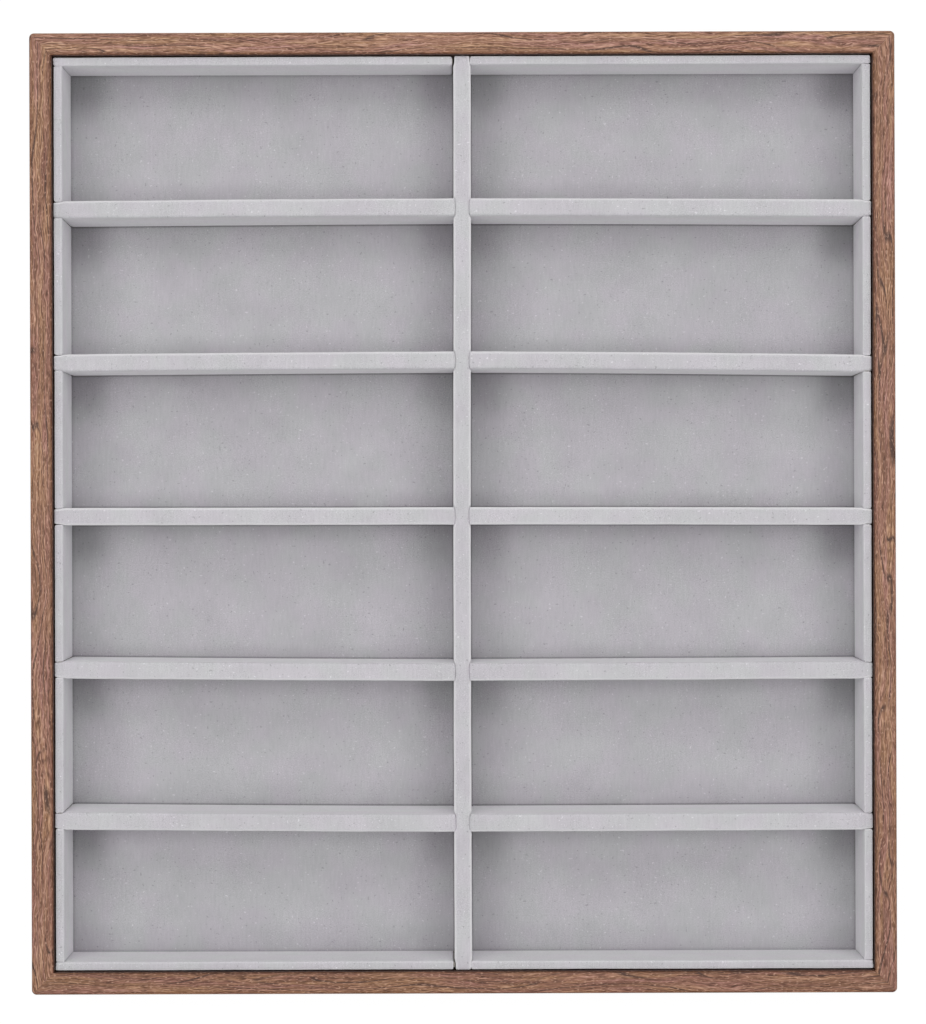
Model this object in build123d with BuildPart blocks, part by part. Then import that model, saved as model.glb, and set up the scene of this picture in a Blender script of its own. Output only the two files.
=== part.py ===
from build123d import *
import math
import os

# Open tray for folded glasses: a mitred frame round a grid of suede-covered dividers.
# Millimetres, +Z up, origin at the middle of the underside. Back is +Y, front is -Y.

# Whole tray
tray_width = 360.0
tray_length = 400.0
tray_height = 45.0

# Frame rails, mitred at the corners
rail_thickness = 9.3
corner_radius = 2.0
rim_arris = 1.2
foot_arris = 0.6

# Steel V-nails, two above each other in every mitre
v_nail_leg = 4.0
v_nail_gauge = 0.5
v_nail_height = 10.0
v_nail_gap = 3.0

# Hardboard bottom in a rebate under the rails, and the brads that hold it
panel_thickness = 3.0
panel_recess = 1.0
panel_gap = 0.25
rebate_width = 4.0
brad_length = 12.0
brad_width = 1.2
brad_thickness = 1.0
brad_point = 1.2
brad_point_taper = 20.0
brad_head_width = 2.0
brad_head_thickness = 0.5
brad_pitch = 100.0

# Floor under the grid: a board and its suede
floor_board_thickness = 1.2
floor_suede_thickness = 0.8
floor_gap = 0.3

# Lining strips along the walls: a board in a suede cover
lining_drop = 3.0
lining_gap = 0.8
lining_board_thickness = 2.0
lining_cloth = 0.6
lining_edge = 0.8
strip_end_gap = 0.3

# Dividers: a board in a padded suede cover
divider_board_thickness = 4.0
divider_padding = 1.65
divider_edge = 1.3
divider_end_gap = 0.3
divider_end_cloth = 0.6

# Half laps, where each divider's slot squeezes the padding of the one that it crosses
crossing_squeeze = 0.85
end_squeeze = 0.45
slot_cloth = 0.3
seam_gap = 0.05
lap_gap = 0.3

# How far each cross divider stands from even spacing, towards the back, counted from the back
cross_divider_drift = (0.0, -0.6, -1.4, -2.3, -1.8)

# Levels
panel_top = panel_recess + panel_thickness
floor_board_top = panel_top + floor_board_thickness
floor_top = floor_board_top + floor_suede_thickness
lining_top = tray_height - lining_drop
lining_height = lining_top - floor_top
lap_level = floor_top + lining_height / 2

# Plan
inner_width = tray_width - 2 * rail_thickness
inner_length = tray_length - 2 * rail_thickness
lining_thickness = lining_board_thickness + 2 * lining_cloth
divider_width = divider_board_thickness + 2 * divider_padding
row_count = len(cross_divider_drift) + 1
rows_length = inner_length - 2 * (lining_gap + lining_thickness)
row_opening = (rows_length - (row_count - 1) * divider_width) / row_count
row_pitch = row_opening + divider_width
first_divider_y = (row_count / 2 - 1) * row_pitch
cross_divider_y = [first_divider_y - i * row_pitch + drift for i, drift in enumerate(cross_divider_drift)]

# Each wall: its length, and a plane in its middle with X along it and Y towards the compartments
walls = {
    "left": (inner_length, Plane((-inner_width / 2, 0, 0), x_dir=(0, -1, 0), z_dir=(0, 0, 1))),
    "right": (inner_length, Plane((inner_width / 2, 0, 0), x_dir=(0, 1, 0), z_dir=(0, 0, 1))),
    "back": (inner_width, Plane((0, inner_length / 2, 0), x_dir=(-1, 0, 0), z_dir=(0, 0, 1))),
    "front": (inner_width, Plane((0, -inner_length / 2, 0), x_dir=(1, 0, 0), z_dir=(0, 0, 1))),
}

# The squeezed stretch of a divider is waisted by two arcs across the other divider's width
crossing_radius = (divider_width**2 / 4 + crossing_squeeze**2) / (2 * crossing_squeeze)
crossing_centre = divider_width / 2 - crossing_squeeze + crossing_radius
waist_at_board = crossing_centre - math.sqrt(crossing_radius**2 - divider_board_thickness**2 / 4)
board_slot = 2 * (waist_at_board + slot_cloth)

os.makedirs("parts", exist_ok=True)


def save(piece, name):
    """Label a finished piece and write it under its own name."""
    piece.part.label = name
    export_step(piece.part, f"parts/{name}.step")


# Corner V-nails: two legs that follow the two rails, with their bend on the mitre
nail_inset = (rail_thickness - rebate_width) / 2
nail_x = tray_width / 2 - nail_inset
nail_y = tray_length / 2 - nail_inset
nail_corners = [
    Location((-nail_x, nail_y, 0), (0, 0, 0)),
    Location((-nail_x, -nail_y, 0), (0, 0, 90)),
    Location((nail_x, -nail_y, 0), (0, 0, 180)),
    Location((nail_x, nail_y, 0), (0, 0, 270)),
]

with BuildPart() as corner_v_nails:
    for level in (0, v_nail_height + v_nail_gap):
        with BuildSketch(Plane.XY.offset(level)):
            with Locations(*nail_corners):
                Rectangle(v_nail_leg, v_nail_gauge, align=(Align.MIN, Align.MAX))
                Rectangle(v_nail_gauge, v_nail_leg, align=(Align.MIN, Align.MAX))
        extrude(amount=v_nail_height)
save(corner_v_nails, "corner_v_nails")

# Base brads: flat wire, evenly spaced along each wall, up through the panel into the rebate's ledge
with BuildPart() as base_brads:
    for wall_length, wall in walls.values():
        brad_count = round(wall_length / brad_pitch)
        along = [((i + 0.5) / brad_count - 0.5) * wall_length for i in range(brad_count)]
        brad_places = [(x, -rebate_width / 2) for x in along]
        with BuildSketch(wall.offset(panel_recess)):
            with Locations(*brad_places):
                Rectangle(brad_head_width, brad_thickness)
        extrude(amount=brad_head_thickness)
        with BuildSketch(wall.offset(panel_recess)):
            with Locations(*brad_places):
                Rectangle(brad_width, brad_thickness)
        extrude(amount=brad_length - brad_point)
        with BuildSketch(wall.offset(panel_recess + brad_length - brad_point)):
            with Locations(*brad_places):
                Rectangle(brad_width, brad_thickness)
        extrude(amount=brad_point, taper=brad_point_taper)
save(base_brads, "base_brads")

# Rails: one rounded frame, rebated below, and cut along its mitres into four
for side, (wall_length, wall) in walls.items():
    with BuildPart() as rail:
        with BuildSketch():
            RectangleRounded(tray_width, tray_length, corner_radius)
            Rectangle(inner_width, inner_length, mode=Mode.SUBTRACT)
        extrude(amount=tray_height)
        fillet(rail.faces().sort_by(Axis.Z)[-1].edges(), rim_arris)
        fillet(rail.faces().sort_by(Axis.Z)[0].outer_wire().edges(), foot_arris)
        with BuildSketch():
            Rectangle(inner_width + 2 * rebate_width, inner_length + 2 * rebate_width)
        extrude(amount=panel_top, mode=Mode.SUBTRACT)
        with BuildSketch(wall):
            outer_half = wall_length / 2 + 2 * rail_thickness
            with BuildLine():
                Polyline(
                    (-outer_half, -2 * rail_thickness),
                    (outer_half, -2 * rail_thickness),
                    (wall_length / 2 - rail_thickness, rail_thickness),
                    (rail_thickness - wall_length / 2, rail_thickness),
                    close=True,
                )
            make_face()
        extrude(amount=tray_height, mode=Mode.INTERSECT)
        add(corner_v_nails.part, mode=Mode.SUBTRACT)
        add(base_brads.part, mode=Mode.SUBTRACT)
    save(rail, f"{side}_rail")

# Bottom panel, up against the rebate's ledge, with the brads driven flush
with BuildPart() as base_panel:
    with BuildSketch(Plane.XY.offset(panel_recess)):
        panel_reach = rebate_width - panel_gap
        Rectangle(inner_width + 2 * panel_reach, inner_length + 2 * panel_reach)
    extrude(amount=panel_thickness)
    add(base_brads.part, mode=Mode.SUBTRACT)
save(base_panel, "base_panel")

# Floor board and its suede
with BuildPart() as floor_board:
    with BuildSketch(Plane.XY.offset(panel_top)):
        Rectangle(inner_width - 2 * floor_gap, inner_length - 2 * floor_gap)
    extrude(amount=floor_board_thickness)
save(floor_board, "floor_board")

with BuildPart() as floor_suede:
    with BuildSketch(Plane.XY.offset(floor_board_top)):
        Rectangle(inner_width - 2 * floor_gap, inner_length - 2 * floor_gap)
    extrude(amount=floor_suede_thickness)
save(floor_suede, "floor_suede")

# Plan of a divider's waist, which the other divider's slot closes round
with BuildSketch() as waist:
    Rectangle(divider_width + 2 * seam_gap, 2 * divider_width)
    with Locations((crossing_centre, 0), (-crossing_centre, 0)):
        Circle(crossing_radius - seam_gap, mode=Mode.SUBTRACT)

# Stretch at each end of a divider that the ends of the lining strips squeeze
end_length = lining_gap + lining_thickness - divider_end_gap
board_height = lining_height - divider_padding

# Centre divider: its top is unbroken, and its lower half is slotted over the cross dividers
centre_length = inner_length - 2 * divider_end_gap

with BuildPart() as centre_divider_board:
    with BuildSketch(Plane.XY.offset(floor_top)):
        Rectangle(divider_board_thickness, centre_length - 2 * divider_end_cloth)
    extrude(amount=board_height)
    with BuildSketch(Plane.XY.offset(floor_top)):
        with Locations(*[(0, y) for y in cross_divider_y]):
            Rectangle(divider_board_thickness, board_slot)
    extrude(amount=lap_level + lap_gap / 2 - floor_top, mode=Mode.SUBTRACT)
save(centre_divider_board, "centre_divider_board")

with BuildPart() as centre_divider_suede:
    with BuildSketch(Plane.XY.offset(floor_top)):
        Rectangle(divider_width, centre_length)
    extrude(amount=lining_height)
    fillet(centre_divider_suede.faces().sort_by(Axis.Z)[-1].edges(), divider_edge)
    with BuildSketch(Plane.XY.offset(floor_top)):
        with GridLocations(divider_width - end_squeeze, centre_length - end_length, 2, 2):
            Rectangle(end_squeeze, end_length)
    extrude(amount=lining_height, mode=Mode.SUBTRACT)
    with BuildSketch(Plane.XY.offset(lap_level - lap_gap / 2)):
        with Locations(*[(side * crossing_centre, y) for y in cross_divider_y for side in (-1, 1)]):
            Circle(crossing_radius)
    extrude(amount=lining_height, mode=Mode.SUBTRACT)
    with BuildSketch(Plane.XY.offset(floor_top)):
        with Locations(*[Location((0, y, 0), (0, 0, 90)) for y in cross_divider_y]):
            add(waist.sketch)
    extrude(amount=lap_level + lap_gap / 2 - floor_top, mode=Mode.SUBTRACT)
    add(centre_divider_board.part, mode=Mode.SUBTRACT)
save(centre_divider_suede, "centre_divider_suede")

# Cross dividers: slotted from above, where the centre divider comes down into them
cross_length = inner_width - 2 * divider_end_gap

for number, y in enumerate(cross_divider_y, start=1):
    on_floor = Plane((0, y, floor_top))
    on_lap = Plane((0, y, lap_level - lap_gap / 2))

    with BuildPart() as cross_divider_board:
        with BuildSketch(on_floor):
            Rectangle(cross_length - 2 * divider_end_cloth, divider_board_thickness)
        extrude(amount=board_height)
        with BuildSketch(on_lap):
            Rectangle(board_slot, divider_board_thickness)
        extrude(amount=lining_height, mode=Mode.SUBTRACT)
    save(cross_divider_board, f"cross_divider_board_{number}")

    with BuildPart() as cross_divider_suede:
        with BuildSketch(on_floor):
            Rectangle(cross_length, divider_width)
        extrude(amount=lining_height)
        fillet(cross_divider_suede.faces().sort_by(Axis.Z)[-1].edges(), divider_edge)
        with BuildSketch(on_floor):
            with GridLocations(cross_length - end_length, divider_width - end_squeeze, 2, 2):
                Rectangle(end_length, end_squeeze)
        extrude(amount=lining_height, mode=Mode.SUBTRACT)
        with BuildSketch(on_floor):
            with Locations((0, crossing_centre), (0, -crossing_centre)):
                Circle(crossing_radius)
        extrude(amount=lap_level + lap_gap / 2 - floor_top, mode=Mode.SUBTRACT)
        with BuildSketch(on_lap):
            add(waist.sketch)
        extrude(amount=lining_height, mode=Mode.SUBTRACT)
        add(cross_divider_board.part, mode=Mode.SUBTRACT)
    save(cross_divider_suede, f"cross_divider_suede_{number}")

# Lining strips: the dividers' places along each wall split it into the strips' spans
dividers_on_wall = {
    "left": [-y for y in cross_divider_y],
    "right": [y for y in reversed(cross_divider_y)],
    "back": [0.0],
    "front": [0.0],
}
squeezed_half = divider_width / 2 - end_squeeze + seam_gap

# The back and front strips run from rail to rail, and the side ones butt against them
butt_inset = lining_gap + lining_thickness + seam_gap
corner_insets = {"left": butt_inset, "right": butt_inset, "back": strip_end_gap, "front": strip_end_gap}

for side, (wall_length, wall) in walls.items():
    crossings = dividers_on_wall[side]
    corner = wall_length / 2 - corner_insets[side]
    starts = [-corner] + [crossing + squeezed_half for crossing in crossings]
    ends = [crossing - squeezed_half for crossing in crossings] + [corner]

    # Strips are numbered from the back and from the left
    numbers = range(1, len(starts) + 1)
    if side in ("right", "back"):
        numbers = reversed(numbers)

    for number, start, end in zip(numbers, starts, ends):
        on_floor = wall.offset(floor_top)
        strip_middle = ((start + end) / 2, lining_gap + lining_thickness / 2)

        with BuildPart() as lining_board:
            with BuildSketch(on_floor):
                with Locations(strip_middle):
                    Rectangle(end - start - 2 * lining_cloth, lining_board_thickness)
            extrude(amount=lining_height - lining_cloth)
        save(lining_board, f"{side}_lining_board_{number}")

        with BuildPart() as lining_suede:
            with BuildSketch(on_floor):
                with Locations(strip_middle):
                    Rectangle(end - start, lining_thickness)
            extrude(amount=lining_height)
            fillet(lining_suede.faces().sort_by(Axis.Z)[-1].edges(), lining_edge)
            add(lining_board.part, mode=Mode.SUBTRACT)
        save(lining_suede, f"{side}_lining_suede_{number}")
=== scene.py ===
"""Looks of an open tray for folded glasses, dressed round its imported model.

Lengths are in metres, in the model's own frame: +Z up, +Y towards the back, and the origin in the
middle of the underside. Walnut print foil wraps the rails, grey suede covers the dividers, the
lining strips and the floor, and the boards, the bottom and the steel keep their own finishes.
"""

import math
from random import Random

import bmesh
import bpy
from bpy.props import FloatProperty, FloatVectorProperty, PointerProperty
from mathutils import Matrix, Vector, noise


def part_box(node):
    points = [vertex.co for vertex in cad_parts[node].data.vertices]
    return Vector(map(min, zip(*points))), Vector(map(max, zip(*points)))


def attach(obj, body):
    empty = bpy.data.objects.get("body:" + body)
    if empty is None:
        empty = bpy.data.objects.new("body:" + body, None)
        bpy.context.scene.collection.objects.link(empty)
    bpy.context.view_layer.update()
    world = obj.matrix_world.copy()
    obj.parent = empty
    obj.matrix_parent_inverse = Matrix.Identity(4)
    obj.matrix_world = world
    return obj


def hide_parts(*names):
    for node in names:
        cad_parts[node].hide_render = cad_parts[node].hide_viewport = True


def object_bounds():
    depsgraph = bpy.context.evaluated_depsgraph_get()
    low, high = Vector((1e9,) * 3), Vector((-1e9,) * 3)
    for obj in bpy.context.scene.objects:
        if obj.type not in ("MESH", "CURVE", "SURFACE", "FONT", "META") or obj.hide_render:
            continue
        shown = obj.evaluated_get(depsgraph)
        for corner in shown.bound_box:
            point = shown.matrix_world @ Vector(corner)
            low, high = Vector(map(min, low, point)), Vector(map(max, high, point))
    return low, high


bl_info = {
    "name": "Glasses tray looks",
    "version": (1, 0, 0),
    "blender": (4, 5, 0),
    "location": "3D View > Sidebar > Glasses tray",
    "description": "Walnut foil, suede covers, boards and steel of an open tray for glasses",
    "category": "Object",
}

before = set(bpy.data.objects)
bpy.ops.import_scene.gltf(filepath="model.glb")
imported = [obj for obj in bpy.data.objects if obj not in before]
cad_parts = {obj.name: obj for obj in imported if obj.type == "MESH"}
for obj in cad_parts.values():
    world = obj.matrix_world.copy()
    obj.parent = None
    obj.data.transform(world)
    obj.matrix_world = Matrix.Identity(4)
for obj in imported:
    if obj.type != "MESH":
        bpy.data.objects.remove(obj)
cad_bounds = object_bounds()

MM = 0.001
X, Y, Z = 0, 1, 2

# Places closer than this are the same place
SLACK = 1e-6

# Without a seed, the noise that makes the padding uneven would differ from run to run
noise.seed_set(1)

# Each cross divider's lowest and highest corners, by its number, counted from the back
cross_dividers = {
    int(name.rsplit("_", 1)[1]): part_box(name)
    for name in sorted(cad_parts) if name.startswith("cross_divider_suede_")
}
cross_places = {number: (low.y + high.y) / 2 for number, (low, high) in cross_dividers.items()}

# How many millimetres each cross divider's cover stands behind its straight board: at its left end, at
# the crossing and at its right end
BOWS = {
    1: (-0.15, 0.6, -0.4),
    2: (0.05, 0.8, -1.05),
    3: (0.3, 0.1, -0.5),
    4: (0.9, -0.6, -0.15),
    5: (0.8, -0.6, -0.25),
}

# Walls of the frame: the side, how far its rail is turned from the front rail, and the way inwards
WALLS = {
    "front": (0.0, Vector((0, 1, 0))),
    "right": (90.0, Vector((-1, 0, 0))),
    "back": (180.0, Vector((0, -1, 0))),
    "left": (270.0, Vector((1, 0, 0))),
}

# Where a mesh's edge loops lie, in millimetres: away from a seam, in from a divider's tip, in from a
# strip's end, and out from the middle of a divider's width
SEAM_LOOPS = (0.15, 0.4, 0.9, 1.6, 2.6, 4.2, 6.0)
TIP_LOOPS = (1.6, 2.4, 3.3, 4.4, 5.6)
STRIP_LOOPS = (1.0, 1.6, 2.6, 4.2)
WIDTH_LOOPS = (-2.1, -1.3, 0, 1.3, 2.1)

# The painted shade along the foot of a wall: how many millimetres out, and how much of it is left there
CREASE = ((0.1, 1.0), (0.4, 0.6), (0.9, 0.0))


def linear(code):
    """Linear colour of an sRGB hex code."""
    channels = [int(code[i : i + 2], 16) / 255 for i in (0, 2, 4)]
    return tuple(c / 12.92 if c <= 0.04045 else ((c + 0.055) / 1.055) ** 2.4 for c in channels)


def colour_property(name, description, code):
    return FloatVectorProperty(
        name=name, description=description, subtype="COLOR", size=3, min=0, max=1, default=linear(code)
    )


def number_property(name, description, default, **more):
    return FloatProperty(name=name, description=description, default=default, **more)


def share_property(name, description, default):
    return number_property(name, description, default, subtype="FACTOR", min=0, max=1)


def length_property(name, description, millimetres):
    return number_property(name, description, millimetres * MM, unit="LENGTH", min=0, precision=5)


class FoilSettings(bpy.types.PropertyGroup):
    """Walnut print foil on the rails"""

    ochre: colour_property("Ochre", "Yellower zones of the print", "986E4F")
    rose: colour_property("Rose", "Redder zones of the print", "8F6151")
    vein: colour_property("Vein", "Growth lines and pores", "47291B")
    fleck: colour_property("Fleck", "Pale flecks between the pores", "CCA28A")
    back_tone: number_property("Back tone", "Tone of the back rail's foil", 1.16, min=0)
    front_tone: number_property("Front tone", "Tone of the front rail's foil", 0.83, min=0)
    # The inner shade is painted shade, drawn darker where the foil turns in towards the gap
    inner_shade: length_property("Inner shade", "Width of the dull edge where the foil turns in", 1.8)
    rim_radius: length_property("Rim radius", "Rounding of a rail's top edges", 1.2)
    foot_radius: length_property("Foot radius", "Rounding of a rail's lower outer edge", 0.6)
    corner_radius: length_property("Corner radius", "Rounding of the frame's outer corners", 2.0)
    mitre_gap: length_property("Mitre gap", "Hairline left at each mitre", 0.03)
    rebate_width: length_property("Rebate width", "Width of the rebate that takes the bottom", 4.0)


class SuedeSettings(bpy.types.PropertyGroup):
    """Suede of the covers and the floor"""

    light: colour_property("Light nap", "Nap stroked towards the light", "E8E6EA")
    dark: colour_property("Dark nap", "Nap stroked away from the light", "A9A7AB")
    # Painted highlight: the pale colour that the folds are drawn with, mostly along the outward edges
    highlit: colour_property("Edge highlight", "Nap worn pale along the outward edges", "EDECEE")
    greenish: colour_property("Greenish cast", "Cast of the cooler patches", "FDFFFD")
    lilac: colour_property("Lilac cast", "Cast of the warmer patches", "FFFDFF")
    # The shades below are painted shade, drawn into the suede's colour through its shade attribute
    floor_shade: share_property("Floor shade", "How much darker the floor is than the covers", 0.18)
    side_shade: share_property("Side shade", "How much darker it is at a compartment's sides", 0.04)
    back_shade: share_property("Back shade", "How much darker it is behind, in the back rows", 0.15)
    front_shade: share_property("Front shade", "How much darker it is in front, in the front rows", 0.1)
    crease_shade: share_property("Crease shade", "How much darker it is along the dividers' feet", 0.5)
    outer_crease: share_property("Outer crease", "Share of the crease along the walls' feet", 0.35)
    butt_shade: share_property("Butt shade", "How dark a side strip's nap is where it butts", 0.7)
    corner_shade: share_property("Corner shade", "How much darker it is in the back corners", 0.3)
    thickness: length_property("Thickness", "Thickness of the suede", 0.55)
    divider_edge: length_property("Divider edge", "Rounding of a divider's top edges", 1.2)
    strip_edge: length_property("Strip edge", "Rounding of a lining strip's top edges", 0.95)
    fold_radius: length_property("Fold radius", "Rounding of a cover's fold at the floor", 0.6)


class GridSettings(bpy.types.PropertyGroup):
    """How the covers squeeze each other"""

    crossing_squeeze: length_property("Crossing squeeze", "How far a crossing draws each side in", 0.85)
    crossing_reach: length_property("Crossing reach", "Half the length that a crossing draws in", 4.5)
    tip_squeeze: length_property("Tip squeeze", "How far the strips draw in each side of a tip", 0.45)
    tip_reach: length_property("Tip reach", "Length of the drawn-in tip", 4.6)
    seam_gap: length_property("Seam gap", "Gap at a seam between two covers", 0.03)
    seam_edge: length_property("Seam edge", "Rounding of a cover along its seam", 0.25)
    slit: length_property("Slit", "Gap left of the centre divider at both its ends", 0.75)
    bend: length_property("Bend", "How far left the centre divider's front half stands", 0.5)
    lean: length_property("Lean", "How far the outermost dividers' feet stand in to the middle", 0.55)
    strip_lean: length_property("Strip lean", "How far a lining strip's foot stands back", 0.42)
    strip_bulge: length_property("Strip bulge", "How far a strip's edge bulges to the rail", 0.25)
    wobble: length_property("Wobble", "Unevenness of the padding", 0.07)


class BottomSettings(bpy.types.PropertyGroup):
    """Bottom, boards and fastenings"""

    hardboard: colour_property("Hardboard", "Smooth face of the hardboard", "7A5638")
    hardboard_fibre: colour_property("Hardboard fibre", "Dark fibres in the hardboard", "523620")
    greyboard: colour_property("Greyboard", "Bare grey board", "8F8B84")
    greyboard_fibre: colour_property("Greyboard fibre", "Flecks in the grey board", "6B6761")
    steel: colour_property("Steel", "Bright drawn wire and strip", "C4C5C7")


class StageSettings(bpy.types.PropertyGroup):
    """Floor, light and camera"""

    camera_height: length_property("Camera height", "Camera above the tray's rim", 1387)
    lens: number_property("Lens", "Focal length in millimetres", 117.3, min=1)
    roll: number_property("Roll", "Turn of the picture", math.radians(-0.17), subtype="ANGLE")
    floor_colour: colour_property("Floor", "Pale studio floor", "F2F2F2")
    sky: number_property("Sky", "Strength of the even light from all round", 0.33, min=0)
    window_power: number_property("Window power", "Soft light from behind", 8.4, unit="POWER", min=0)
    side_power: number_property("Side power", "Soft light from each side", 9.8, unit="POWER", min=0)


class TraySettings(bpy.types.PropertyGroup):
    """Sizes and colours of the whole tray"""

    foil: PointerProperty(type=FoilSettings)
    suede: PointerProperty(type=SuedeSettings)
    grid: PointerProperty(type=GridSettings)
    bottom: PointerProperty(type=BottomSettings)
    stage: PointerProperty(type=StageSettings)


def emptied(tree):
    """Empty a shader tree, and give the function that adds nodes to it."""
    tree.nodes.clear()

    def add(kind, inputs=(), output=0, **settings):
        """Add a node with its settings and its inputs' values or links, by name or in their order, and
        give the socket of one of its outputs."""
        node = tree.nodes.new("ShaderNode" + kind)
        for name, value in settings.items():
            setattr(node, name, value)
        for key, value in inputs.items() if isinstance(inputs, dict) else enumerate(inputs):
            if isinstance(value, bpy.types.NodeSocket):
                tree.links.new(value, node.inputs[key])
            else:
                node.inputs[key].default_value = value
        return node.outputs[output] if node.outputs else None

    return add


# A Mix node's inputs where it mixes colours, and its settings there
FACTOR, A, B = 0, 6, 7
COLOURS = {"data_type": "RGBA", "output": 2}
TINT = {"blend_type": "MULTIPLY", **COLOURS}

# A Map Range node's setting for soft limits. Its inputs are a value, two limits and what these become.
SOFT = {"interpolation_type": "SMOOTHSTEP"}
TIMES = {"operation": "MULTIPLY"}


def settings():
    """The tray's sizes and colours."""
    return bpy.context.scene.glasses_tray


def rgba(colour):
    """A colour setting as a colour socket's value."""
    return (*colour, 1.0)


def new_material(name):
    """An empty material and the function that adds nodes to it."""
    material = bpy.data.materials.new(name)
    material.use_nodes = True
    return material, emptied(material.node_tree)


def walnut_print_foil():
    """Walnut print foil, rolled on and pressed with pores: a matt print whose growth lines, pores and
    flecks run along each rail and wrap round its edges."""
    foil = settings().foil
    material, add = new_material("walnut_print_foil")
    along = add("UVMap", uv_map="girth")

    def marks(place, length, width, detail=2.0, shift=0.0):
        """Noise whose marks are so many millimetres long along the grain and so many wide across it."""
        spot = add("Mapping", {
            "Vector": place, "Location": (shift, shift, 0),
            "Scale": (1 / (length * MM), 1 / (width * MM), 1)})
        return add("TexNoise", {"Vector": spot, "Scale": 1.0, "Detail": detail, "Roughness": 0.6})

    def swayed(place, waves, height):
        """The place moved across the grain by waves that are so many millimetres high."""
        sideways = add("Math", [waves, height * MM, -0.5 * height * MM], operation="MULTIPLY_ADD")
        step = add("CombineXYZ", {"Y": sideways})
        return add("VectorMath", [place, step], operation="ADD")

    # The growth lines wander sideways in waves about 50 mm long, and the threads in shorter ones too
    line_place = swayed(along, marks(along, 50, 40, 1.0, 5.0), 7)
    print_place = swayed(line_place, marks(along, 9, 3, 1.0), 2.2)

    # Redder and yellower zones, a few millimetres wide
    zones = add("MapRange", [marks(print_place, 45, 3), 0.38, 0.62])
    colour = add("Mix", {FACTOR: zones, A: rgba(foil.ochre), B: rgba(foil.rose)}, **COLOURS)

    # Growth lines 3.6 mm apart: level lines of a slow noise, which close into long flames, broken here
    # and there, with three fainter lines to each
    across = add("SeparateXYZ", [line_place], "Y")
    slow = add("Math", [marks(line_place, 80, 12, 1.0, 7.0), 7.0], **TIMES)
    level = add("Math", [across, 1 / (3.6 * MM), slow], operation="MULTIPLY_ADD")
    apart = add("Math", [level, 0.5], operation="PINGPONG")
    line = add("MapRange", [apart, 0.12, 0.0], **SOFT)
    whole = add("MapRange", [marks(print_place, 60, 3, 1.0, 3.0), 0.42, 0.52, 0.35, 1.0], **SOFT)
    line = add("Math", [line, whole], **TIMES)
    level = add("Math", [level, 3.0], **TIMES)
    apart = add("Math", [level, 0.5], operation="PINGPONG")
    faint = add("MapRange", [apart, 0.3, 0.0, 0.0, 0.3], **SOFT)
    line = add("Math", [line, faint], operation="MAXIMUM")

    # Streaks and threads of fine grain, short dark pores and pale flecks
    streaks = add("MapRange", [marks(print_place, 40, 0.7, 0.0, 23.0), 0.3, 0.7, 0.6, 1.4])
    fine = marks(print_place, 5, 0.3, 1.0, 11.0)
    threads = add("MapRange", [fine, 0.32, 0.68, 0.25, 1.75])
    pores = add("MapRange", [marks(print_place, 4, 0.4, 0.0, 19.0), 0.72, 0.82], **SOFT)
    flecks = add("MapRange", [marks(print_place, 1.6, 0.35, 0.0, 31.0), 0.6, 0.74], **SOFT)
    broad = add("MapRange", [marks(print_place, 90, 4, 2.0, 43.0), 0.3, 0.7, 0.84, 1.16])
    tone = add("Attribute", output="Fac", attribute_name="tone")
    tone = add("Math", [broad, tone], **TIMES)
    grain = add("Math", [threads, streaks], **TIMES)
    shade = add("Math", [grain, tone], **TIMES)

    # Painted shade: where the foil turns in towards the lining it is drawn darker, down to nearly black
    # inside the gap
    low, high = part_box("left_rail")
    deep = high.x - low.x
    girth = add("SeparateXYZ", [along], "Y")
    shaded = add("MapRange", [girth, deep - foil.inner_shade, deep + 1 * MM, 1.0, 0.08])
    shade = add("Math", [shade, shaded], **TIMES)

    # The darker the print, the redder it is
    shade = add("Math", [shade, 0.02], operation="MAXIMUM")
    red = add("Math", [shade, 0.77], operation="POWER")
    blue = add("Math", [shade, 1.25], operation="POWER")
    tint = add("CombineColor", [red, shade, blue])
    colour = add("Mix", {FACTOR: 1.0, A: colour, B: tint}, **TINT)
    pores = add("Math", [pores, 0.5], **TIMES)
    dark = add("Math", [line, pores], operation="MAXIMUM")
    colour = add("Mix", {FACTOR: dark, A: colour, B: rgba(foil.vein)}, **COLOURS)
    flecks = add("Math", [flecks, 0.5], **TIMES)
    colour = add("Mix", {FACTOR: flecks, A: colour, B: rgba(foil.fleck)}, **COLOURS)

    # The foil is matt, and its pores are pressed a few hundredths of a millimetre deep
    pressed = add("Math", [fine, dark], operation="SUBTRACT")
    normal = add("Bump", {"Strength": 0.35, "Distance": 0.06 * MM, "Height": pressed})
    surface = add("BsdfPrincipled", {
        "Base Color": colour, "Roughness": 0.55, "IOR": 1.46, "Normal": normal})
    add("OutputMaterial", [surface])
    return material


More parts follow.
